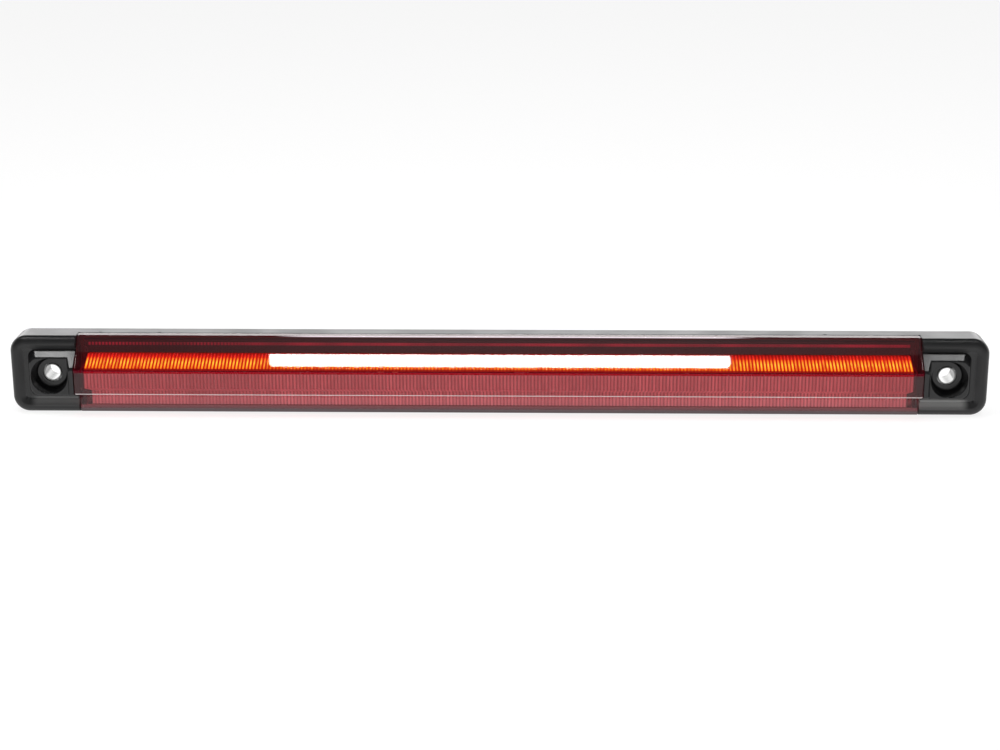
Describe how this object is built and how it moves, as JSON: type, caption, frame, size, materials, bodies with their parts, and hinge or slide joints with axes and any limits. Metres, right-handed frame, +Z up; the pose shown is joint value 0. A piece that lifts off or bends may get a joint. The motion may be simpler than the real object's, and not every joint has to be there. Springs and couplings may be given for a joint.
{
  "type": "third brake light",
  "caption": "Slim high-mounted brake light bar: black housing with a screw ear at each end, red ribbed lens over a lit bar, rear socket and foam gasket.",
  "frame": {"origin": "centre of the flat rear mounting face", "axes": "+X along the light, -Y the way it shines, +Y out of its rear face, +Z up as it stands in use"},
  "size_m": [0.4, 0.0318, 0.0324],
  "materials": {
    "housing_plastic": "satin black moulded plastic",
    "lens_red": "clear red moulded polycarbonate, glossy",
    "seal_rubber": "dark rubber",
    "guide_lit": "clear ribbed acrylic, lit",
    "shield_plastic": "matt black",
    "reflector_plastic": "pale ribbed moulding",
    "board_green": "solder resist over glass laminate",
    "led_lit": "LED package, lit",
    "chip_black": "moulded epoxy",
    "capacitor_can": "plain can",
    "screw_steel": "zinc plated",
    "socket_plastic": "black nylon",
    "terminal_brass": "tinned brass",
    "sleeve_steel": "turned, bright",
    "gasket_foam": "closed-cell foam",
    "vent_plastic": "black moulded cap"
  },
  "bodies": {
    "root": {"housing": "housing_plastic", "lens": "lens_red", "lens_seal": "seal_rubber", "light_guide": "guide_lit", "light_shield": "shield_plastic", "reflector": "reflector_plastic", "circuit_board": "board_green", "led_01": "led_lit", "led_02": "led_lit", "led_03": "led_lit", "led_04": "led_lit", "led_05": "led_lit", "led_06": "led_lit", "led_07": "led_lit", "led_08": "led_lit", "led_09": "led_lit", "led_10": "led_lit", "led_11": "led_lit", "led_12": "led_lit", "resistor_1": "chip_black", "resistor_2": "chip_black", "resistor_3": "chip_black", "resistor_4": "chip_black", "reverse_diode": "chip_black", "driver_chip": "chip_black", "capacitor": "capacitor_can", "board_screw_1": "screw_steel", "board_screw_2": "screw_steel", "board_screw_3": "screw_steel", "board_screw_4": "screw_steel", "connector_socket": "socket_plastic", "terminal_feed": "terminal_brass", "terminal_ground": "terminal_brass", "left_sleeve": "sleeve_steel", "right_sleeve": "sleeve_steel", "rear_gasket": "gasket_foam", "vent_cap": "vent_plastic"}
  },
  "joints": []
}
